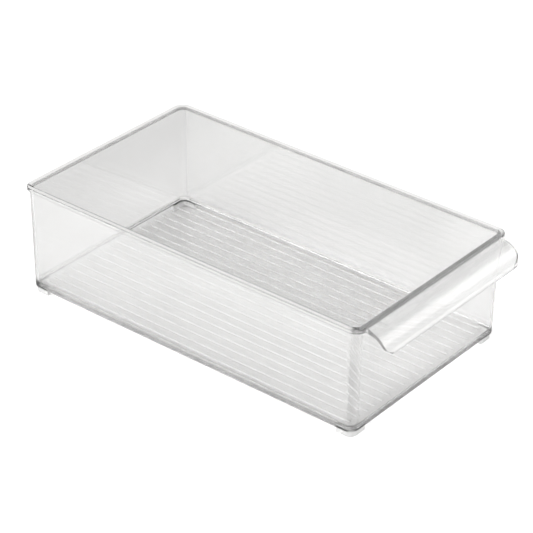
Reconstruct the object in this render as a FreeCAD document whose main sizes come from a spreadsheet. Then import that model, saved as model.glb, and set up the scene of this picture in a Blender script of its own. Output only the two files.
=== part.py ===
import FreeCAD, Part
import math
import os
import re
import Sketcher

# Clear fridge bin: one moulded tray with a ribbed floor, a lipped rim and a pull handle
# across the front, standing on four corner feet.
# X runs across the bin, the handle is toward -Y, Z is up and Z = 0 is the shelf it stands on.
# The origin is the middle of the overall footprint, handle included.  Millimetres.

os.makedirs("parts", exist_ok=True)
doc = FreeCAD.newDocument("fridge_bin")

# ---------------------------------------------------------------- driving dimensions

DIMENSIONS = {
    # overall
    "overall_length": 368.5,
    "overall_height": 100.8,
    # rim: the lip that runs round the mouth
    "rim_width": 203.0,
    "rim_drop": 3.4,
    "rim_overhang": 2.3,
    "rim_corner": 10.5,
    "rim_top_round": 0.8,
    "rim_lower_round": 0.5,
    "front_band": 6.0,
    # walls and floor
    "wall": 2.4,
    "floor_thickness": 3.0,
    "side_draft": 0.5,
    "front_draft": 0.4,
    "rear_draft": 2.7,
    "foot_height": 5.7,
    "lower_edge_round": 0.6,
    "floor_corner_round": 3.0,
    "mouth_round": 0.5,
    # ribs on the floor
    "rib_count": 19,
    "rib_pitch": 9.8,
    "rib_width": 2.6,
    "rib_height": 1.1,
    "rib_top_round": 0.8,
    "rib_end_margin": 7.0,
    # handle: a curved sheet that arches out from the front of the rim
    "handle_width": 181.5,
    "handle_reach": 19.5,
    "handle_drop": 19.5,
    "handle_sheet": 3.0,
    "handle_slope": 24.0,
    "handle_slope_run": 9.0,
    "handle_bend": 14.4,
    "handle_flare": 3.0,
    "handle_root_depth": 4.2,
    "handle_root_overlap": 1.0,
    "handle_corner": 12.0,
    # feet
    "foot_inset": 1.4,
    "foot_wall": 3.2,
    "foot_leg_across": 10.5,
    "foot_leg_along": 8.5,
    "foot_tread_round": 0.6,
}

# ------------------------------------------------------- places worked out from the above

PLACES = {
    "rear_rim": "=overall_length / 2",
    "front_rim": "=-overall_length / 2 + handle_reach",
    "rim_underside": "=overall_height - rim_drop",
    "floor_top": "=foot_height + floor_thickness",
    "wall_top_half": "=rim_width / 2 - rim_overhang",
    "wall_top_rear": "=rear_rim - rim_overhang",
    "wall_top_front": "=front_rim + front_band - wall",
    "wall_top_corner": "=rim_corner - rim_overhang",
    "wall_foot_half": "=wall_top_half - side_draft",
    "wall_foot_rear": "=wall_top_rear - rear_draft",
    "wall_foot_front": "=wall_top_front + front_draft",
    "inner_top_half": "=wall_top_half - wall",
    "inner_top_rear": "=wall_top_rear - wall",
    "inner_top_front": "=wall_top_front + wall",
    "inner_corner": "=wall_top_corner - wall",
    "inner_foot_half": "=wall_foot_half - wall",
    "inner_foot_rear": "=wall_foot_rear - wall",
    "inner_foot_front": "=wall_foot_front + wall",
}

sheet = doc.addObject("Spreadsheet::Sheet", "Dims")
for row, (alias, value) in enumerate(list(DIMENSIONS.items()) + list(PLACES.items()), start=1):
    sheet.set("A%d" % row, alias)
    sheet.set("B%d" % row, str(value))
    sheet.setAlias("B%d" % row, alias)
doc.recompute()


def size(expression):
    """The present value of an expression in the sheet's names."""
    return float(sheet.evalExpression(expression))


def bind(item, prop, expression):
    """Tie a property to an expression in the sheet's names."""
    def from_sheet(word):
        named = word.group() in DIMENSIONS or word.group() in PLACES
        return "Dims." + word.group() if named else word.group()
    item.setExpression(prop, re.sub("[a-z_]+", from_sheet, expression))


# ------------------------------------------------------------------- sketching helpers

def new_body(label):
    body = doc.addObject("PartDesign::Body", label)
    body.Label = label
    return body


def new_sketch(body, name, plane="XY_Plane", level="0"):
    """A sketch on one of the body's own planes, lifted off it by level."""
    sketch = body.newObject("Sketcher::SketchObject", name)
    origin_plane = [part for part in body.Origin.OriginFeatures if part.Role == plane][0]
    sketch.AttachmentSupport = [(origin_plane, "")]
    sketch.MapMode = "FlatFace"
    bind(sketch, "AttachmentOffset.Base.z", level)
    return sketch


def add_size(sketch, name, expression, kind, *where):
    """A named dimension of the sketch, bound to the sheet."""
    index = sketch.addConstraint(Sketcher.Constraint(kind, *where, size(expression)))
    sketch.renameConstraint(index, name)
    bind(sketch, "Constraints." + name, expression)


ORIGIN = (-1, 1)
START = 1
END = 2
CENTRE = 3


def draw_outline(sketch, half, front, rear, corner):
    """A rectangle with rounded corners, centred across the bin."""
    right = half + " - " + corner
    left = "-(" + right + ")"
    ahead = front + " + " + corner
    behind = rear + " - " + corner
    corners = [
        ("right_rear", right, behind),
        ("left_rear", left, behind),
        ("left_front", left, ahead),
        ("right_front", right, ahead),
    ]
    up = FreeCAD.Vector(0, 0, 1)
    quarter = math.pi / 2
    arcs = []
    for turns, (name, across, along) in enumerate(corners):
        middle = FreeCAD.Vector(size(across), size(along), 0)
        circle = Part.Circle(middle, up, size(corner))
        arc = Part.ArcOfCircle(circle, turns * quarter, (turns + 1) * quarter)
        arcs.append(sketch.addGeometry(arc, False))
    for arc, following in zip(arcs, arcs[1:] + arcs[:1]):
        side = Part.LineSegment(sketch.getPoint(arc, END), sketch.getPoint(following, START))
        line = sketch.addGeometry(side, False)
        sketch.addConstraint(Sketcher.Constraint("Tangent", arc, END, line, START))
        sketch.addConstraint(Sketcher.Constraint("Tangent", line, END, following, START))
    for (name, across, along), arc in zip(corners, arcs):
        add_size(sketch, name + "_across", across, "DistanceX", *ORIGIN, arc, CENTRE)
        add_size(sketch, name + "_along", along, "DistanceY", *ORIGIN, arc, CENTRE)
        add_size(sketch, name + "_radius", corner, "Radius", arc)


def outline_gap(point, half, front, rear, corner):
    """How far a point lies outside a rounded rectangle (negative when inside)."""
    radius = size(corner)
    middle = (size(front) + size(rear)) / 2
    reach_x = abs(point.x) - size(half) + radius
    reach_y = abs(point.y - middle) - (size(rear) - size(front)) / 2 + radius
    outside = FreeCAD.Vector(max(reach_x, 0), max(reach_y, 0), 0).Length
    return outside + min(max(reach_x, reach_y), 0) - radius


def edges_at(feature, level):
    """Numbered names of the edges that lie flat at a level, with their middle points."""
    found = {}
    for position, edge in enumerate(feature.Shape.Edges, start=1):
        box = edge.BoundBox
        if abs(box.ZMin - size(level)) < 0.01 and abs(box.ZMax - size(level)) < 0.01:
            middle = edge.valueAt((edge.FirstParameter + edge.LastParameter) / 2)
            found["Edge%d" % position] = middle
    return found


def edges_on(feature, level, half, front, rear, corner):
    """Names of the edges that lie at a level on a rounded rectangle."""
    outline = (half, front, rear, corner)
    level_edges = edges_at(feature, level)
    return [name for name, middle in level_edges.items()
            if abs(outline_gap(middle, *outline)) < 0.02]


def add_round(body, name, base, edges, radius):
    """A fillet on chosen edges of the feature before it."""
    fillet = body.newObject("PartDesign::Fillet", name)
    fillet.Base = (base, edges)
    fillet.Refine = True
    bind(fillet, "Radius", radius)
    doc.recompute()
    return fillet


# ------------------------------------------------------------------------- the shell

RIM = ("rim_width / 2", "front_rim", "rear_rim", "rim_corner")
WALL_TOP = ("wall_top_half", "wall_top_front", "wall_top_rear", "wall_top_corner")
WALL_FOOT = ("wall_foot_half", "wall_foot_front", "wall_foot_rear", "wall_top_corner")
INNER_TOP = ("inner_top_half", "inner_top_front", "inner_top_rear", "inner_corner")
INNER_FOOT = ("inner_foot_half", "inner_foot_front", "inner_foot_rear", "inner_corner")


def add_tray(shell):
    """The outside of the tray as a solid block, with the lip of the rim round its top."""
    lower = new_sketch(shell, "WallFoot", level="foot_height")
    draw_outline(lower, *WALL_FOOT)
    upper = new_sketch(shell, "WallTop", level="overall_height")
    draw_outline(upper, *WALL_TOP)
    block = shell.newObject("PartDesign::AdditiveLoft", "Block")
    block.Profile = lower
    block.Sections = [upper]
    block.Ruled = True

    rim = new_sketch(shell, "RimOutline", level="rim_underside")
    draw_outline(rim, *RIM)
    lip = shell.newObject("PartDesign::Pad", "RimLip")
    lip.Profile = rim
    bind(lip, "Length", "rim_drop")
    doc.recompute()

    top = add_round(shell, "RimTopRound", lip, edges_on(lip, "overall_height", *RIM),
                    "rim_top_round")
    under = add_round(shell, "RimLowerRound", top, edges_on(top, "rim_underside", *RIM),
                      "rim_lower_round")
    return add_round(shell, "LowerEdgeRound", under,
                     edges_on(under, "foot_height", *WALL_FOOT), "lower_edge_round")


def add_cavity(shell):
    """The inside of the tray, rounded where the walls meet the floor."""
    lower = new_sketch(shell, "InnerFoot", level="floor_top")
    draw_outline(lower, *INNER_FOOT)
    upper = new_sketch(shell, "InnerTop", level="overall_height")
    draw_outline(upper, *INNER_TOP)
    cavity = shell.newObject("PartDesign::SubtractiveLoft", "Cavity")
    cavity.Profile = lower
    cavity.Sections = [upper]
    cavity.Ruled = True
    doc.recompute()

    floor = add_round(shell, "FloorCornerRound", cavity,
                      edges_on(cavity, "floor_top", *INNER_FOOT), "floor_corner_round")
    return add_round(shell, "MouthRound", floor,
                     edges_on(floor, "overall_height", *INNER_TOP), "mouth_round")


def draw_handle_profile(sketch):
    """The handle seen from the side: the arched sheet and the root it springs from.

    It is drawn roughly, and the tangencies and sizes then settle it.
    """
    front = size("front_rim")
    top = size("overall_height")

    def spot(out, down):
        return FreeCAD.Vector(front - out, top - down, 0)

    def line(first, last):
        return sketch.addGeometry(Part.LineSegment(first, last), False)

    def arc(first, middle, last):
        return sketch.addGeometry(Part.Arc(first, middle, last), False)

    root_top = spot(-4.6, 0)
    fold = spot(0, 0)
    bend_start = spot(9.0, 4.0)
    bend_middle = spot(14.4, 8.2)
    bend_end = spot(17.3, 14.65)
    flare_middle = spot(17.8, 15.8)
    flare_end = spot(18.8, 16.7)
    nose_middle = spot(19.4, 18.6)
    nose_end = spot(17.2, 19.3)
    inner_flare_middle = spot(15.3, 17.5)
    inner_bend_start = spot(14.4, 15.2)
    inner_bend_middle = spot(11.2, 9.2)
    inner_bend_end = spot(5.1, 5.9)
    root_bottom = spot(-4.6, 4.2)

    band = line(root_top, fold)
    slope = line(fold, bend_start)
    bend = arc(bend_start, bend_middle, bend_end)
    flare = arc(bend_end, flare_middle, flare_end)
    nose = arc(flare_end, nose_middle, nose_end)
    inner_flare = arc(nose_end, inner_flare_middle, inner_bend_start)
    inner_bend = arc(inner_bend_start, inner_bend_middle, inner_bend_end)
    underside = line(inner_bend_end, root_bottom)
    root = line(root_bottom, root_top)

    def ends_meeting(first, second, place):
        """Which end of each piece lies at a place."""
        found = []
        for piece in (first, second):
            at_start = sketch.getPoint(piece, START).distanceToPoint(place) < 0.01
            found.append(START if at_start else END)
        return first, found[0], second, found[1]

    tangent_joins = [
        (slope, bend, bend_start),
        (bend, flare, bend_end),
        (flare, nose, flare_end),
        (nose, inner_flare, nose_end),
        (inner_flare, inner_bend, inner_bend_start),
        (inner_bend, underside, inner_bend_end),
    ]
    corner_joins = [
        (band, slope, fold),
        (underside, root, root_bottom),
        (root, band, root_top),
    ]
    joins = [("Tangent", ends_meeting(*join)) for join in tangent_joins]
    joins += [("Coincident", ends_meeting(*join)) for join in corner_joins]
    for kind, ends in joins:
        sketch.addConstraint(Sketcher.Constraint(kind, *ends))
    sketch.addConstraint(Sketcher.Constraint("Horizontal", band))
    sketch.addConstraint(Sketcher.Constraint("Vertical", root))
    sketch.addConstraint(Sketcher.Constraint("Coincident", bend, CENTRE, inner_bend, CENTRE))
    sketch.addConstraint(Sketcher.Constraint("Coincident", flare, CENTRE, inner_flare, CENTRE))

    add_size(sketch, "fold_along", "front_rim", "DistanceX", *ORIGIN, slope, START)
    add_size(sketch, "fold_level", "overall_height", "DistanceY", *ORIGIN, slope, START)
    add_size(sketch, "root_along", "wall_top_front + handle_root_overlap",
             "DistanceX", *ORIGIN, root, START)
    add_size(sketch, "root_level", "overall_height - handle_root_depth",
             "DistanceY", *ORIGIN, root, START)
    add_size(sketch, "slope_run", "handle_slope_run", "DistanceX", slope, END, slope, START)
    add_size(sketch, "slope_fall", "handle_slope_run * tan(handle_slope * 1deg)",
             "DistanceY", slope, END, slope, START)
    add_size(sketch, "bend_radius", "handle_bend", "Radius", bend)
    add_size(sketch, "flare_radius", "handle_flare", "Radius", flare)
    add_size(sketch, "nose_radius", "handle_sheet / 2", "Radius", nose)
    add_size(sketch, "nose_along", "front_rim - handle_reach + handle_sheet / 2",
             "DistanceX", *ORIGIN, nose, CENTRE)
    add_size(sketch, "nose_level", "overall_height - handle_drop + handle_sheet / 2",
             "DistanceY", *ORIGIN, nose, CENTRE)


def add_handle(shell):
    """The pull handle across the front, with its two lower corners rounded off."""
    profile = new_sketch(shell, "HandleProfile", plane="YZ_Plane")
    draw_handle_profile(profile)
    handle = shell.newObject("PartDesign::Pad", "Handle")
    handle.Profile = profile
    handle.Midplane = True
    bind(handle, "Length", "handle_width")
    doc.recompute()
    return handle


def trim_handle_corners(shell):
    """Round off the two lower corners of the handle, seen from the front."""
    sketch = new_sketch(shell, "HandleCorners", plane="XZ_Plane", level="overall_length / 2")
    half = size("handle_width / 2")
    radius = size("handle_corner")
    tip = size("overall_height - handle_drop")
    spare = 1.0

    for side, name in ((-1, "left"), (1, "right")):
        middle = FreeCAD.Vector(side * (half - radius), tip + radius, 0)
        beside = middle + FreeCAD.Vector(side * radius, 0, 0)
        below = middle - FreeCAD.Vector(0, radius, 0)
        between = middle + FreeCAD.Vector(side * radius, -radius, 0) * 0.5 ** 0.5
        far_beside = beside + FreeCAD.Vector(side * spare, 0, 0)
        far_corner = far_beside - FreeCAD.Vector(0, radius + spare, 0)
        far_below = below - FreeCAD.Vector(0, spare, 0)

        curve = sketch.addGeometry(Part.Arc(beside, between, below), False)
        at_side = START if sketch.getPoint(curve, START).distanceToPoint(beside) < 0.01 else END
        at_base = END if at_side == START else START
        corners = [below, far_below, far_corner, far_beside, beside]
        lines = []
        for first, last in zip(corners, corners[1:]):
            lines.append(sketch.addGeometry(Part.LineSegment(first, last), False))
        joins = [(curve, at_base, lines[0], START), (lines[3], END, curve, at_side)]
        joins += [(one, END, other, START) for one, other in zip(lines, lines[1:])]
        for join in joins:
            sketch.addConstraint(Sketcher.Constraint("Coincident", *join))
        for upright in (lines[0], lines[2]):
            sketch.addConstraint(Sketcher.Constraint("Vertical", upright))
        for level_line in (lines[1], lines[3]):
            sketch.addConstraint(Sketcher.Constraint("Horizontal", level_line))
        sketch.addConstraint(
            Sketcher.Constraint("Horizontal", curve, CENTRE, curve, at_side))
        sketch.addConstraint(Sketcher.Constraint("Vertical", curve, CENTRE, curve, at_base))

        sign = "-" if side < 0 else ""
        add_size(sketch, name + "_across", sign + "(handle_width / 2 - handle_corner)",
                 "DistanceX", *ORIGIN, curve, CENTRE)
        add_size(sketch, name + "_level", "overall_height - handle_drop + handle_corner",
                 "DistanceY", *ORIGIN, curve, CENTRE)
        add_size(sketch, name + "_radius", "handle_corner", "Radius", curve)
        sketch.addConstraint(Sketcher.Constraint("DistanceY", lines[0], END, lines[0], START, spare))
        ends = (lines[3], END, lines[3], START) if side > 0 else (lines[3], START, lines[3], END)
        sketch.addConstraint(Sketcher.Constraint("DistanceX", *ends, spare))

    trim = shell.newObject("PartDesign::Pocket", "HandleCornerTrim")
    trim.Profile = sketch
    bind(trim, "Length", "handle_reach")
    doc.recompute()
    return trim


def add_ribs(shell):
    """Low round-topped ribs along the floor, kept clear of the walls all round."""
    sketch = new_sketch(shell, "RibOutline", level="floor_top")
    across = "-(rib_count - 1) / 2 * rib_pitch"
    front = "inner_foot_front + rib_end_margin + rib_width / 2"
    rear = "inner_foot_rear - rib_end_margin - rib_width / 2"
    radius = size("rib_width / 2")
    left = FreeCAD.Vector(-radius, 0, 0)
    right = FreeCAD.Vector(radius, 0, 0)
    front_middle = FreeCAD.Vector(size(across), size(front), 0)
    rear_middle = FreeCAD.Vector(size(across), size(rear), 0)
    outward = FreeCAD.Vector(0, radius, 0)

    front_end = sketch.addGeometry(
        Part.Arc(front_middle + left, front_middle - outward, front_middle + right), False)
    right_side = sketch.addGeometry(
        Part.LineSegment(front_middle + right, rear_middle + right), False)
    rear_end = sketch.addGeometry(
        Part.Arc(rear_middle + right, rear_middle + outward, rear_middle + left), False)
    left_side = sketch.addGeometry(
        Part.LineSegment(rear_middle + left, front_middle + left), False)
    loop = [front_end, right_side, rear_end, left_side]
    for piece, following in zip(loop, loop[1:] + loop[:1]):
        sketch.addConstraint(Sketcher.Constraint("Tangent", piece, END, following, START))
    add_size(sketch, "front_across", across, "DistanceX", *ORIGIN, front_end, CENTRE)
    add_size(sketch, "front_along", front, "DistanceY", *ORIGIN, front_end, CENTRE)
    add_size(sketch, "rear_across", across, "DistanceX", *ORIGIN, rear_end, CENTRE)
    add_size(sketch, "rear_along", rear, "DistanceY", *ORIGIN, rear_end, CENTRE)
    add_size(sketch, "rib_radius", "rib_width / 2", "Radius", front_end)
    sketch.addConstraint(Sketcher.Constraint("Equal", front_end, rear_end))

    rib = shell.newObject("PartDesign::Pad", "Rib")
    rib.Profile = sketch
    bind(rib, "Length", "rib_height")
    doc.recompute()

    ribs = shell.newObject("PartDesign::LinearPattern", "Ribs")
    ribs.Originals = [rib]
    crossways = [part for part in shell.Origin.OriginFeatures if part.Role == "X_Axis"][0]
    ribs.Direction = (crossways, [""])
    bind(ribs, "Length", "(rib_count - 1) * rib_pitch")
    bind(ribs, "Occurrences", "rib_count")
    shell.Tip = ribs
    doc.recompute()

    tops = list(edges_at(ribs, "floor_top + rib_height"))
    return add_round(shell, "RibTopRound", ribs, tops, "rib_top_round")


# --------------------------------------------------------------------------- the feet

def add_foot(label, side, end):
    """A foot that hooks round one lower corner: side is -1 left or 1 right, end -1 or 1."""
    body = new_body(label)
    sketch = new_sketch(body, label + "_outline")
    turn = "wall_top_corner"
    middle_across = "(wall_foot_half - " + turn + ")"
    if side < 0:
        middle_across = "-" + middle_across
    middle_along = "wall_foot_front + " + turn if end < 0 else "wall_foot_rear - " + turn
    outer = size("wall_top_corner - foot_inset")
    inner = outer - size("foot_wall")
    along = size("foot_leg_along")
    across = size("foot_leg_across")
    middle = FreeCAD.Vector(size(middle_across), size(middle_along), 0)
    diagonal = 0.5 ** 0.5

    def spot(sideways, endways):
        return middle + FreeCAD.Vector(side * sideways, end * endways, 0)

    outer_arc = sketch.addGeometry(
        Part.Arc(spot(outer, 0), spot(outer * diagonal, outer * diagonal), spot(0, outer)), False)
    inner_arc = sketch.addGeometry(
        Part.Arc(spot(inner, 0), spot(inner * diagonal, inner * diagonal), spot(0, inner)), False)

    def line(first, last):
        return sketch.addGeometry(Part.LineSegment(first, last), False)

    outer_along = line(spot(outer, 0), spot(outer, -along))
    end_along = line(spot(outer, -along), spot(inner, -along))
    inner_along = line(spot(inner, -along), spot(inner, 0))
    outer_across = line(spot(0, outer), spot(-across, outer))
    end_across = line(spot(-across, outer), spot(-across, inner))
    inner_across = line(spot(-across, inner), spot(0, inner))

    def arc_end(arc, place):
        return START if sketch.getPoint(arc, START).distanceToPoint(place) < 0.01 else END

    tangents = [
        (outer_arc, arc_end(outer_arc, spot(outer, 0)), outer_along, START),
        (outer_arc, arc_end(outer_arc, spot(0, outer)), outer_across, START),
        (inner_arc, arc_end(inner_arc, spot(inner, 0)), inner_along, END),
        (inner_arc, arc_end(inner_arc, spot(0, inner)), inner_across, END),
    ]
    corners = [
        (outer_along, END, end_along, START),
        (end_along, END, inner_along, START),
        (outer_across, END, end_across, START),
        (end_across, END, inner_across, START),
    ]
    for join in tangents:
        sketch.addConstraint(Sketcher.Constraint("Tangent", *join))
    for join in corners:
        sketch.addConstraint(Sketcher.Constraint("Coincident", *join))
    for upright in (outer_along, inner_along, end_across):
        sketch.addConstraint(Sketcher.Constraint("Vertical", upright))
    for level_line in (outer_across, inner_across, end_along):
        sketch.addConstraint(Sketcher.Constraint("Horizontal", level_line))
    sketch.addConstraint(
        Sketcher.Constraint("Coincident", outer_arc, CENTRE, inner_arc, CENTRE))
    add_size(sketch, "middle_across", middle_across, "DistanceX", *ORIGIN, outer_arc, CENTRE)
    add_size(sketch, "middle_along", middle_along, "DistanceY", *ORIGIN, outer_arc, CENTRE)
    add_size(sketch, "outer_radius", "wall_top_corner - foot_inset", "Radius", outer_arc)
    add_size(sketch, "inner_radius", "wall_top_corner - foot_inset - foot_wall",
             "Radius", inner_arc)
    add_size(sketch, "leg_along", "foot_leg_along", "Distance", outer_along)
    add_size(sketch, "leg_across", "foot_leg_across", "Distance", outer_across)

    pad = body.newObject("PartDesign::Pad", label + "_pad")
    pad.Profile = sketch
    bind(pad, "Length", "foot_height")
    doc.recompute()
    add_round(body, label + "_tread", pad, list(edges_at(pad, "0")), "foot_tread_round")
    return body


# --------------------------------------------------------------------------- assembly

shell = new_body("bin_shell")
add_tray(shell)
add_cavity(shell)
add_handle(shell)
trim_handle_corners(shell)
add_ribs(shell)

CORNERS = {
    "foot_front_left": (-1, -1),
    "foot_front_right": (1, -1),
    "foot_rear_left": (-1, 1),
    "foot_rear_right": (1, 1),
}
bodies = [shell]
for label, (side, end) in CORNERS.items():
    bodies.append(add_foot(label, side, end))
doc.recompute()

for item in doc.Objects:
    if "Invalid" in item.State or "Error" in item.State:
        raise RuntimeError(item.Name + " did not build")
    if hasattr(item, "Shape") and (item.Shape.isNull() or not item.Shape.isValid()):
        raise RuntimeError(item.Name + " has no sound shape")

for body in bodies:
    body.Shape.exportStep("parts/" + body.Label + ".step")
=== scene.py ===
import math
from types import SimpleNamespace

import bpy
from mathutils import Matrix, Vector


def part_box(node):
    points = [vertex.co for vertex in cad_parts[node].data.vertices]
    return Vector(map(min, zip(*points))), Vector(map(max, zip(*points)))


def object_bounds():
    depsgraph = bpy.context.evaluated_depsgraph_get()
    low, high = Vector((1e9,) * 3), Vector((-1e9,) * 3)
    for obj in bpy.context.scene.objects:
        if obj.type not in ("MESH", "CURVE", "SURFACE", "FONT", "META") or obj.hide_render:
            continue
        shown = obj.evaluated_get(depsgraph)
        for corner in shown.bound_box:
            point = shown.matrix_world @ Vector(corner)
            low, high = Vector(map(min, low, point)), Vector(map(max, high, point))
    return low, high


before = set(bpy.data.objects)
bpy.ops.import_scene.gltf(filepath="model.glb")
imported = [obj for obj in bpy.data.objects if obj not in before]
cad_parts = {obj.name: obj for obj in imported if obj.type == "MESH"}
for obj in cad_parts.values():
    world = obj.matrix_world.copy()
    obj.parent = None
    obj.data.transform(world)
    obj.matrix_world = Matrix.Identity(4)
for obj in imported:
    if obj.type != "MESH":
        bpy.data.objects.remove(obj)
cad_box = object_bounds()
scene = bpy.context.scene
low, high = cad_box

# ------------------------------------------------------------------ node helpers


def new_tree(owner):
    """The emptied node tree of a material or world."""
    owner.use_nodes = True
    owner.node_tree.nodes.clear()
    return owner.node_tree


def put(tree, socket, value):
    """Give a socket a number, or link it to another socket."""
    if isinstance(value, bpy.types.NodeSocket):
        tree.links.new(value, socket)
    else:
        socket.default_value = value


def node(tree, kind, **values):
    """A node, with its named inputs set to values or linked to sockets."""
    made = tree.nodes.new(kind)
    for name, value in values.items():
        put(tree, made.inputs[name.replace("_", " ")], value)
    return made


def maths(tree, operation, first, second):
    """The result of a Math node on two numbers or sockets."""
    made = tree.nodes.new("ShaderNodeMath")
    made.operation = operation
    for socket, value in zip(made.inputs, (first, second)):
        put(tree, socket, value)
    return made.outputs[0]


def product(tree, *factors):
    """Sockets or numbers multiplied together."""
    total = factors[0]
    for factor in factors[1:]:
        total = maths(tree, "MULTIPLY", total, factor)
    return total


def greatest(tree, *choices):
    """The greatest of some sockets or numbers."""
    total = choices[0]
    for choice in choices[1:]:
        total = maths(tree, "MAXIMUM", total, choice)
    return total


def rest_of(tree, share):
    """What a share leaves of 1."""
    return maths(tree, "SUBTRACT", 1.0, share)


def ramp(tree, value, start, end, at_start=0.0, at_end=1.0):
    """A smooth step of a socket's value between two places."""
    made = node(tree, "ShaderNodeMapRange", Value=value)
    made.interpolation_type = "SMOOTHSTEP"
    for name, number in (("From Min", start), ("From Max", end),
                         ("To Min", at_start), ("To Max", at_end)):
        made.inputs[name].default_value = number
    return made.outputs["Result"]


def above(tree, value, edge, border):
    """0 where a socket's value is below an edge, rising to 1 across the border above it."""
    return ramp(tree, value, edge, edge + border)


def below(tree, value, edge, border):
    """1 where a socket's value is below an edge, falling to 0 across the border above it."""
    return ramp(tree, value, edge + border, edge)


def blend(tree, plain, *patches):
    """A plain number, replaced by each patch's value where its mask is 1."""
    total = plain
    for mask, value in patches:
        kept = maths(tree, "MULTIPLY", total, rest_of(tree, mask))
        total = maths(tree, "ADD", kept, maths(tree, "MULTIPLY", mask, value))
    return total


def grey(tree, level):
    """A grey colour of some level."""
    made = node(tree, "ShaderNodeCombineColor", Red=level, Green=level, Blue=level)
    return made.outputs["Color"]


# ----------------------------------------------------------------- clear plastic

PLASTIC_IOR = 1.57
ABSORPTION = 1.5            # per metre of plastic
RIPPLE_SCALE = 14.0         # faint unevenness of the moulded surface
RIPPLE_DETAIL = 2.0
RIPPLE_STRENGTH = 0.012
RIPPLE_HEIGHT = 0.001
SMEAR_SCALE = 60.0          # patches a little duller or glossier than the rest
SMEAR_DETAIL = 4.0
SMEAR_LOW = 0.6
SMEAR_HIGH = 1.4
SHELL_ROUGHNESS = 0.03
FOOT_ROUGHNESS = 0.25
NOISE_LOW = 0.3             # nearly all of a noise texture lies between these
NOISE_HIGH = 0.7


def noise(tree, place, scale, detail, at_low, at_high):
    """A noise texture's value, spread between two numbers."""
    cloud = node(tree, "ShaderNodeTexNoise", Vector=place, Scale=scale, Detail=detail)
    return ramp(tree, cloud.outputs["Fac"], NOISE_LOW, NOISE_HIGH, at_low, at_high)


def clear_plastic(name, roughness, zones):
    """Clear moulded plastic, whose tint, painted shade and haze by place come from a function.
    """
    material = bpy.data.materials.new(name)
    tree = new_tree(material)
    place = node(tree, "ShaderNodeTexCoord").outputs["Object"]
    ripple = node(tree, "ShaderNodeTexNoise", Vector=place, Scale=RIPPLE_SCALE,
                  Detail=RIPPLE_DETAIL)
    bump = node(tree, "ShaderNodeBump", Strength=RIPPLE_STRENGTH, Distance=RIPPLE_HEIGHT,
                Height=ripple.outputs["Fac"])
    rough = noise(tree, place, SMEAR_SCALE, SMEAR_DETAIL,
                  roughness * SMEAR_LOW, roughness * SMEAR_HIGH)
    tint_and_painted_shade, haze = zones(tree, place)
    surface = node(tree, "ShaderNodeBsdfPrincipled", Base_Color=grey(tree, tint_and_painted_shade),
                   IOR=PLASTIC_IOR, Transmission_Weight=rest_of(tree, haze), Roughness=rough,
                   Normal=bump.outputs["Normal"])
    inside = node(tree, "ShaderNodeVolumeAbsorption", Color=(0.0, 0.0, 0.0, 1),
                  Density=ABSORPTION)
    node(tree, "ShaderNodeOutputMaterial", Surface=surface.outputs["BSDF"],
         Volume=inside.outputs["Volume"])
    return material


# ------------------------------------------------------- tint, painted shade and haze of the shell

# Tone darkens the light that passes a face: a faint grey tint everywhere, and painted shade
# in the front band, the lines round the mouth and the bottom, the handle's cut ends and the
# rim's corners. Haze is the share that the face scatters.
# The walls' haze stays below 0.25, where the renderer's noise filter would take a wall for
# an opaque surface and wipe out what is seen through it.
PLAIN_TONE = 0.98
# Painted shade: the front band's top face is darkened in colour, from light at its back to
# nearly black at the fold.
BAND_PAINTED_SHADE_INNER = 0.9
BAND_PAINTED_SHADE_OUTER = 0.1
# Painted shade: a dark line inside the mouth, below the top.
MOUTH_PAINTED_SHADE = 0.45
# Painted shade: a thin dark line along the rim's inner edge, on the left side.
INNER_LINE_PAINTED_SHADE = 0.2
# Painted shade: dark lines round the bottom of the walls, taller at the front.
EDGE_PAINTED_SHADE = 0.75
FRONT_EDGE_PAINTED_SHADE = 0.6
# Painted shade: the handle's cut ends are darkened.
HANDLE_END_PAINTED_SHADE = 0.4
# Painted shade: the rim's outer faces are darkened where they round a corner.
RIM_CORNER_PAINTED_SHADE = 0.4

HAZE = 0.04
SIDE_HAZE = 0.24
FRONT_HAZE = 0.11
RIB_HAZE = 0.46
COVE_HAZE = 0.2
RIM_SIDE_HAZE = 0.24
LIP_HAZE = 0.85
LOW_CORNER_HAZE = 0.4
HANDLE_HAZE = 0.14

# Sizes of the shell in metres, as the CAD part has them.
HANDLE_REACH = 0.0195
FRONT_BAND = 0.006
RIM_DROP = 0.0034
FLOOR_THICKNESS = 0.003
FLOOR_FILLET = 0.003
RIB_HEIGHT = 0.0011
RIB_FIELD = 0.092           # the ribs lie within this distance of the middle line

# Borders of the zones, in metres, from sharp to soft.
HAIRLINE = 0.0002
THIN = 0.0003
FINE = 0.0004
CLOSE = 0.0005
SOFT = 0.0006
WIDE = 0.0008
BROAD = 0.001

# How a face has to look for a zone to hold it: an edge, and the border above it, of one
# of the values in surface_facts.
UPWARD = (0.85, 0.12)
NOT_UPWARD = (0.7, 0.2)     # below this
BARELY_UPWARD = (0.5, 0.3)  # below this
HARDLY_UPWARD = (0.4, 0.2)  # below this
NOT_DOWNWARD = (-0.97, 0.12)
OUTER = (0.0, 0.02)
WELL_OUTER = (0.01, 0.02)
INNER = (-0.02, 0.015)      # below this
WELL_INNER = (-0.05, 0.03)  # below this
ALONG_AN_AXIS = (0.85, 0.12)
ROUNDING_A_CORNER = (0.92, 0.06)    # below this
FLAT_WALL = (0.93, 0.06)
NOT_SIDEWAYS = (0.5, 0.3)   # below this
CUT_END = (0.5, 0.3)
LEANING_LENGTHWAYS = (0.15, 0.15)
TURNED_LEFT = (-0.35, 0.25)         # below this

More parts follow.
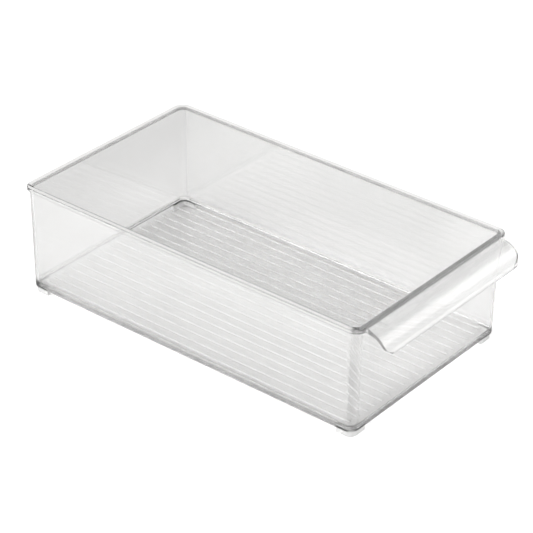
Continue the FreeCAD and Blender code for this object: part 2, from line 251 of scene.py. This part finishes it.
# Where the zones are, in metres.
RIM_TOP_DEPTH = 0.0012      # the rim's top face is no further below the top than this
BAND_OVERLAP = 0.0009       # the band of painted shade reaches this far past the fold, onto the handle
LIP_FADE = 0.006            # the rim's top grows hazy over this distance behind the band
MOUTH_HIGH = 0.0011         # the painted dark line of shade inside the mouth, below the top
MOUTH_LOW = 0.0036
INNER_LINE_DEPTH = 0.0009   # the thin painted dark line of shade along the rim's inner edge, on the left side
INNER_LINE_FROM = -0.0979
INNER_LINE_TO = -0.0960
EDGE_HEIGHT = 0.0008        # the painted dark line of shade round the bottom of the walls
EDGE_FADE = 0.0014
FRONT_EDGE_HEIGHT = 0.0036  # the same line at the front, where it is taller
FRONT_EDGE_BACK = 0.006
FRONT_EDGE_HALF = 0.088
FRONT_EDGE_FADE = 0.005
LOW_CORNER_HEIGHT = 0.0012
LOW_CORNER_FADE = 0.0008
WALL_FOOT = 0.004           # the side walls grow hazy from here up
WALL_FOOT_FADE = 0.008
WALL_HEAD = 0.0045          # and are clear again from here up, below the top
WALL_HEAD_FADE = 0.0015
FRONT_WALL_BACK = 0.008     # the front wall lies within this distance of the fold
FRONT_WALL_FADE = 0.004
HANDLE_START = 0.001        # the handle is all there this far in front of the fold
HANDLE_FADE = 0.0012
HANDLE_END_START = 0.0015


def surface_facts(tree, place):
    """Sockets saying where a point of the shell is and which way it faces.

    Those of facing run from 0 to 1, or from -1 to 1 where they have a sign. Outward is
    above 0 on the shell's outer faces and below 0 on its inner ones.
    """
    at = node(tree, "ShaderNodeSeparateXYZ", Vector=place).outputs
    normal = node(tree, "ShaderNodeNewGeometry").outputs["Normal"]
    facing = node(tree, "ShaderNodeSeparateXYZ", Vector=normal).outputs
    sideways = maths(tree, "ABSOLUTE", facing["X"], 0.0)
    lengthways = maths(tree, "ABSOLUTE", facing["Y"], 0.0)
    outward = maths(tree, "ADD", product(tree, facing["X"], at["X"]),
                    product(tree, facing["Y"], at["Y"]))
    return SimpleNamespace(
        across=at["X"], ahead=at["Y"], level=at["Z"],
        aside=maths(tree, "ABSOLUTE", at["X"], 0.0),
        right=facing["X"], up=facing["Z"], sideways=sideways, lengthways=lengthways,
        squarely=greatest(tree, sideways, lengthways), outward=outward)


def rim_zones(tree, spot, top, fold, band_back):
    """Masks of the rim and its haze, and of the front band, the rim's corners and the lines
    round the mouth, where shade is painted.
    """
    top_face = product(tree, above(tree, spot.level, top - RIM_TOP_DEPTH, SOFT),
                       above(tree, spot.up, *UPWARD))
    outer_face = product(tree, above(tree, spot.outward, *WELL_OUTER),
                         below(tree, spot.up, *NOT_UPWARD),
                         above(tree, spot.level, top - RIM_DROP - HAIRLINE, FINE))
    return SimpleNamespace(
        band=product(tree, top_face, below(tree, spot.ahead, band_back - HAIRLINE / 2, FINE),
                     above(tree, spot.ahead, fold - BAND_OVERLAP, CLOSE)),
        lip=product(tree, top_face, above(tree, spot.ahead, band_back, LIP_FADE)),
        side=outer_face,
        corner=product(tree, outer_face, below(tree, spot.squarely, *ROUNDING_A_CORNER)),
        mouth=product(tree, below(tree, spot.outward, *WELL_INNER),
                      below(tree, spot.level, top - MOUTH_HIGH, SOFT),
                      above(tree, spot.level, top - MOUTH_LOW, WIDE),
                      below(tree, spot.up, *BARELY_UPWARD)),
        inner_line=product(tree, above(tree, spot.level, top - INNER_LINE_DEPTH, FINE),
                           above(tree, spot.across, INNER_LINE_FROM, FINE),
                           below(tree, spot.across, INNER_LINE_TO, CLOSE)))


def lower_zones(tree, spot, base, fold):
    """Masks of the painted dark lines of shade, and of the hazier corners, at the bottom of the
    walls.
    """
    skirting = product(tree, above(tree, spot.up, *NOT_DOWNWARD),
                       below(tree, spot.up, *HARDLY_UPWARD), above(tree, spot.outward, *OUTER))
    straight = above(tree, spot.squarely, *ALONG_AN_AXIS)
    return SimpleNamespace(
        edge=product(tree, skirting, straight,
                     below(tree, spot.level, base + EDGE_HEIGHT, EDGE_FADE)),
        front_edge=product(tree, skirting,
                           below(tree, spot.level, base + FRONT_EDGE_HEIGHT, SOFT),
                           below(tree, spot.ahead, fold + FRONT_EDGE_BACK, FRONT_EDGE_BACK),
                           below(tree, spot.aside, FRONT_EDGE_HALF, FRONT_EDGE_FADE)),
        corner=product(tree, skirting, rest_of(tree, straight),
                       below(tree, spot.level, base + LOW_CORNER_HEIGHT, LOW_CORNER_FADE)))


def wall_zones(tree, spot, top, base, fold):
    """Masks of the walls, the floor's fillets and ribs, and the handle, and of the handle's cut
    ends, where shade is painted.
    """
    floor_top = base + FLOOR_THICKNESS
    head = below(tree, spot.level, top - WALL_HEAD, WALL_HEAD_FADE)
    return SimpleNamespace(
        side=product(tree, above(tree, spot.sideways, *FLAT_WALL), head,
                     above(tree, spot.level, base + WALL_FOOT, WALL_FOOT_FADE)),
        front=product(tree, above(tree, spot.lengthways, *FLAT_WALL), head,
                      below(tree, spot.ahead, fold + FRONT_WALL_BACK, FRONT_WALL_FADE)),
        rib=product(tree, above(tree, spot.level, floor_top + HAIRLINE / 2, HAIRLINE),
                    below(tree, spot.level, floor_top + RIB_HEIGHT + HAIRLINE, THIN),
                    below(tree, spot.aside, RIB_FIELD - BROAD / 2, BROAD),
                    below(tree, spot.right, *TURNED_LEFT)),
        cove=product(tree, above(tree, spot.level, floor_top + HAIRLINE, FINE),
                     below(tree, spot.level, floor_top + FLOOR_FILLET - FINE, SOFT),
                     below(tree, spot.outward, *INNER),
                     greatest(tree, above(tree, spot.aside, RIB_FIELD + BROAD / 2, BROAD),
                              above(tree, spot.lengthways, *LEANING_LENGTHWAYS))),
        handle=product(tree, below(tree, spot.ahead, fold - HANDLE_START, HANDLE_FADE),
                       below(tree, spot.sideways, *NOT_SIDEWAYS)),
        handle_end=product(tree, below(tree, spot.ahead, fold - HANDLE_END_START, BROAD),
                           above(tree, spot.sideways, *CUT_END)))


def shell_zones(tree, place):
    """Where the shell is tinted, where it is darkened by painted shade, and where it is hazier.
    """
    spot = surface_facts(tree, place)
    shell_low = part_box("bin_shell")[0]
    top, base = high.z, shell_low.z
    fold = shell_low.y + HANDLE_REACH
    band_back = fold + FRONT_BAND
    rim = rim_zones(tree, spot, top, fold, band_back)
    foot = lower_zones(tree, spot, base, fold)
    wall = wall_zones(tree, spot, top, base, fold)
    # Painted shade: the band, the mouth's line, the rim's inner line, the bottom edges, the
    # handle's cut ends and the rim's corners darken the base colour.
    band_painted_shade = ramp(tree, spot.ahead, band_back, fold, BAND_PAINTED_SHADE_INNER, BAND_PAINTED_SHADE_OUTER)
    tint_and_painted_shade = blend(tree, PLAIN_TONE, (rim.band, band_painted_shade), (rim.mouth, MOUTH_PAINTED_SHADE),
                 (rim.inner_line, INNER_LINE_PAINTED_SHADE), (foot.edge, EDGE_PAINTED_SHADE),
                 (foot.front_edge, FRONT_EDGE_PAINTED_SHADE), (wall.handle_end, HANDLE_END_PAINTED_SHADE),
                 (rim.corner, RIM_CORNER_PAINTED_SHADE))
    haze = blend(tree, HAZE, (wall.side, SIDE_HAZE), (wall.front, FRONT_HAZE),
                 (wall.rib, RIB_HAZE), (wall.cove, COVE_HAZE), (rim.side, RIM_SIDE_HAZE),
                 (rim.lip, LIP_HAZE), (rim.corner, HAZE), (foot.corner, LOW_CORNER_HAZE),
                 (rim.inner_line, HAZE), (wall.handle, HANDLE_HAZE))
    return tint_and_painted_shade, haze


FOOT_CLOUD_SCALE = 90.0
FOOT_CLOUD_DETAIL = 2.0
FOOT_TONES = (0.95, 0.98)
FOOT_HAZES = (0.65, 0.75)


def foot_zones(tree, place):
    """A tone and a haze that hardly change from place to place."""
    return (noise(tree, place, FOOT_CLOUD_SCALE, FOOT_CLOUD_DETAIL, *FOOT_TONES),
            noise(tree, place, FOOT_CLOUD_SCALE, FOOT_CLOUD_DETAIL, *FOOT_HAZES))


shell_plastic = clear_plastic("clear_shell", SHELL_ROUGHNESS, shell_zones)
foot_plastic = clear_plastic("clear_foot", FOOT_ROUGHNESS, foot_zones)
for name, cad_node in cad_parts.items():
    cad_node.data.materials[0] = shell_plastic if name == "bin_shell" else foot_plastic

# ------------------------------------------------------------------------- floor

# The floor is pale paper that looks white to the camera. Strips of it round the bin glow
# for all other rays, so that the walls and the handle mirror a pale veil.
FLOOR_SIZE = 12.0
PAPER = 0.83
# Painted shade: the paper's colour behind the bin, darker so the rear wall seen against it
# looks darker.
PAPER_PAINTED_SHADE_BEHIND = 0.74
PAPER_LIFT = 0.42
SIDE_LIFT = 0.38
FRONT_LIFT = 0.6
FRONT_LIFT_AT_RIGHT = 0.6   # as a share of the lift at the left
BEYOND_LIFT = 0.2
CORNER_LIFT = 0.15

# Where the paper is darkened by painted shade, behind the bin, and where its strips are: a
# distance from the bin's box and the width of the border there, in metres.
BEHIND_FROM = 0.03
BEHIND_TO = 0.11
BESIDE = 0.05               # the strip on the left, from here outwards
BESIDE_BORDER = 0.038
BEFORE = 0.008              # the strip in front
BEFORE_BORDER = 0.026
BEFORE_DIMS_FROM = -0.02    # it dims to the right from this place
BEYOND = 0.03               # the strip on the right, out to here
BEYOND_BORDER = 0.09
BEYOND_START = 0.005
BEYOND_FULL = -0.05         # and it is full in front of this place
CORNER = 0.03               # the patch to the right and in front
CORNER_BORDER = 0.04
CORNER_FULL = -0.06         # full in front of this place, and gone at the middle line


def floor_glow(tree, across, ahead, seen):
    """How brightly the floor glows, from its place and whether the camera sees it."""
    beside = below(tree, across, low.x - BESIDE, BESIDE_BORDER)
    before = product(tree, below(tree, ahead, low.y - BEFORE, BEFORE_BORDER),
                     ramp(tree, across, BEFORE_DIMS_FROM, high.x, 1.0, FRONT_LIFT_AT_RIGHT))
    beyond = product(tree, below(tree, across, high.x + BEYOND, BEYOND_BORDER),
                     above(tree, across, high.x, BEYOND_START),
                     ramp(tree, ahead, high.y, BEYOND_FULL))
    corner = product(tree, above(tree, across, high.x + CORNER, CORNER_BORDER),
                     ramp(tree, ahead, 0.0, CORNER_FULL))
    strips = greatest(tree, product(tree, beside, SIDE_LIFT), product(tree, before, FRONT_LIFT),
                      product(tree, beyond, BEYOND_LIFT), product(tree, corner, CORNER_LIFT))
    return maths(tree, "ADD", product(tree, seen, PAPER_LIFT),
                 product(tree, strips, rest_of(tree, seen)))


def floor_material():
    """Pale paper, darkened behind the bin by painted shade, with its glowing strips."""
    material = bpy.data.materials.new("studio_floor")
    tree = new_tree(material)
    place = node(tree, "ShaderNodeNewGeometry").outputs["Position"]
    spot = node(tree, "ShaderNodeSeparateXYZ", Vector=place).outputs
    pale = ramp(tree, spot["Y"], high.y + BEHIND_FROM, high.y + BEHIND_TO,
                PAPER, PAPER_PAINTED_SHADE_BEHIND)
    paper = node(tree, "ShaderNodeBsdfDiffuse", Color=grey(tree, pale))
    seen = node(tree, "ShaderNodeLightPath").outputs["Is Camera Ray"]
    glow = node(tree, "ShaderNodeEmission", Color=(1, 1, 1, 1),
                Strength=floor_glow(tree, spot["X"], spot["Y"], seen))
    both = tree.nodes.new("ShaderNodeAddShader")
    tree.links.new(paper.outputs["BSDF"], both.inputs[0])
    tree.links.new(glow.outputs["Emission"], both.inputs[1])
    node(tree, "ShaderNodeOutputMaterial", Surface=both.outputs["Shader"])
    return material


bpy.ops.mesh.primitive_plane_add(size=FLOOR_SIZE, location=(0, 0, 0))
floor = bpy.context.object
floor.name = "studio_floor"
floor.data.materials.append(floor_material())

# ------------------------------------------------------------------------- light

# The sky is darker towards the rear right, and has three broad soft glows.
SKY_NEAR = 0.5
SKY_FAR = 0.22
SKY_TOP = 0.45
WARM_WHITE = (1.0, 0.996, 0.988, 1)
REAR_RIGHT = (0.787, 0.617, 0.0)
FAR_FROM = 0.2              # how far a direction points to the rear right, from where the
FAR_TO = 0.75               # sky begins to darken to where it is darkest
TOP_FROM = 0.62             # how far it points up, from where the sky's top begins to
TOP_TO = 0.85               # where it is all top
GLOWS = [
    # way, inner degrees, outer degrees, radiance
    ((0.66, -0.62, 0.42), 8, 30, 2.0),
    ((-0.72, 0.45, 0.53), 8, 34, 3.2),
    ((-0.55, -0.62, 0.56), 8, 30, 1.8),
]


def along(tree, direction, way):
    """How far a direction points along a way."""
    facing = tree.nodes.new("ShaderNodeVectorMath")
    facing.operation = "DOT_PRODUCT"
    tree.links.new(direction, facing.inputs[0])
    facing.inputs[1].default_value = Vector(way).normalized()
    return facing.outputs["Value"]


def studio_light(tree):
    """The brightness of the sky in every direction."""
    direction = node(tree, "ShaderNodeTexCoord").outputs["Generated"]
    rise = node(tree, "ShaderNodeSeparateXYZ", Vector=direction).outputs["Z"]
    sides = ramp(tree, along(tree, direction, REAR_RIGHT), FAR_FROM, FAR_TO, SKY_NEAR, SKY_FAR)
    light = blend(tree, sides, (ramp(tree, rise, TOP_FROM, TOP_TO), SKY_TOP))
    for way, inner, outer, radiance in GLOWS:
        glow = ramp(tree, along(tree, direction, way), math.cos(math.radians(outer)),
                    math.cos(math.radians(inner)), 0.0, radiance)
        light = maths(tree, "ADD", light, glow)
    return light


world = bpy.data.worlds.new("studio")
scene.world = world
world_tree = new_tree(world)
shine = node(world_tree, "ShaderNodeBackground", Color=WARM_WHITE,
             Strength=studio_light(world_tree))
node(world_tree, "ShaderNodeOutputWorld", Surface=shine.outputs["Background"])

# ------------------------------------------------------------------------ camera

AZIMUTH = math.radians(-51.898)
ELEVATION = math.radians(30.919)
ROLL = math.radians(1.427)
DISTANCE = 1.888627
TARGET = Vector((-0.00125, 0.00346, 0.04818))
FOCAL_LENGTH = 154.28       # millimetres, like the sensor's width
SENSOR_WIDTH = 36.0

back = Vector((math.sin(AZIMUTH) * math.cos(ELEVATION),
               -math.cos(AZIMUTH) * math.cos(ELEVATION), math.sin(ELEVATION)))
level_right = Vector((0, 0, 1)).cross(back).normalized()
level_up = back.cross(level_right)
right = math.cos(ROLL) * level_right + math.sin(ROLL) * level_up
up = math.cos(ROLL) * level_up - math.sin(ROLL) * level_right
lens = bpy.data.cameras.new("camera")
lens.lens = FOCAL_LENGTH
lens.sensor_width = SENSOR_WIDTH
camera = bpy.data.objects.new("camera", lens)
scene.collection.objects.link(camera)
turn = Matrix((right, up, back)).transposed()
camera.matrix_world = Matrix.Translation(TARGET + back * DISTANCE) @ turn.to_4x4()
scene.camera = camera

# ------------------------------------------------------------ light paths and colours

# Light passes many faces of clear plastic, and its reflections stay sharp.
scene.view_settings.view_transform = "Standard"
scene.cycles.blur_glossy = 0.0
scene.cycles.max_bounces = 96
scene.cycles.transmission_bounces = 48
scene.cycles.glossy_bounces = 64
scene.cycles.transparent_max_bounces = 16
scene.cycles.sample_clamp_indirect = 6.0
